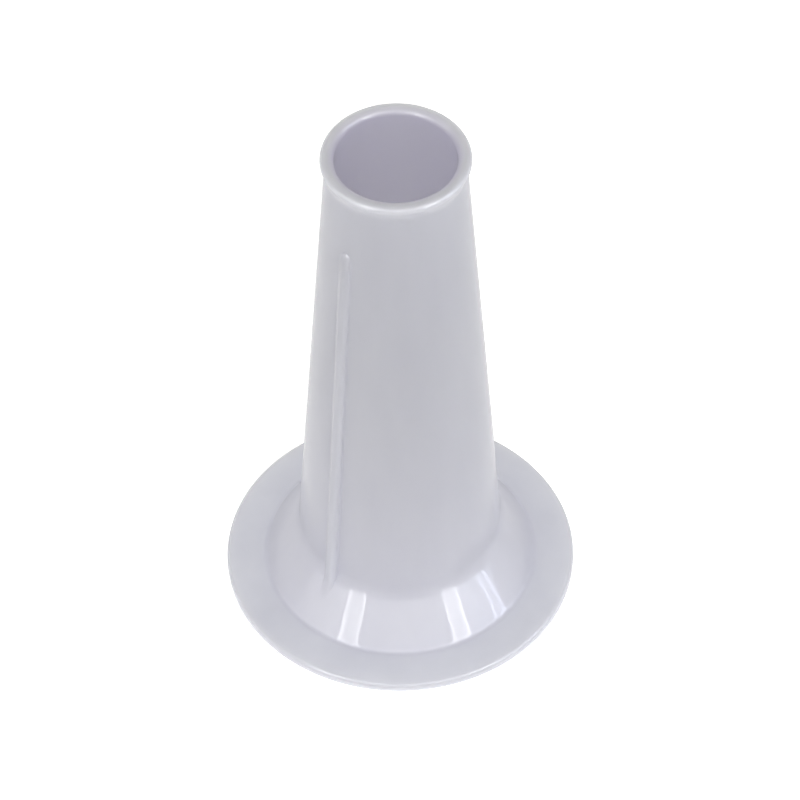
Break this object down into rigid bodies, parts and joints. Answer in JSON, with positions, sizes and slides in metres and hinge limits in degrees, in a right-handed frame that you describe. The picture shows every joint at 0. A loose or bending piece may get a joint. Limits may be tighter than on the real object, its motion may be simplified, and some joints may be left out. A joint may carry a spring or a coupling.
{
  "type": "sausage stuffing tube",
  "caption": "Tapered white plastic stuffing tube with a rounded mouth bead, a lengthwise rib and a flared bell on a flat flange that a grinder's ring nut clamps.",
  "frame": {"origin": "centre of the flange's underside", "axes": "+Z along the tube towards its mouth, -Y through the rib"},
  "size_m": [0.062, 0.062, 0.1025],
  "materials": {
    "white_plastic": "glossy moulded food-grade plastic"
  },
  "bodies": {
    "root": {"stuffing_tube": "white_plastic"}
  },
  "joints": []
}
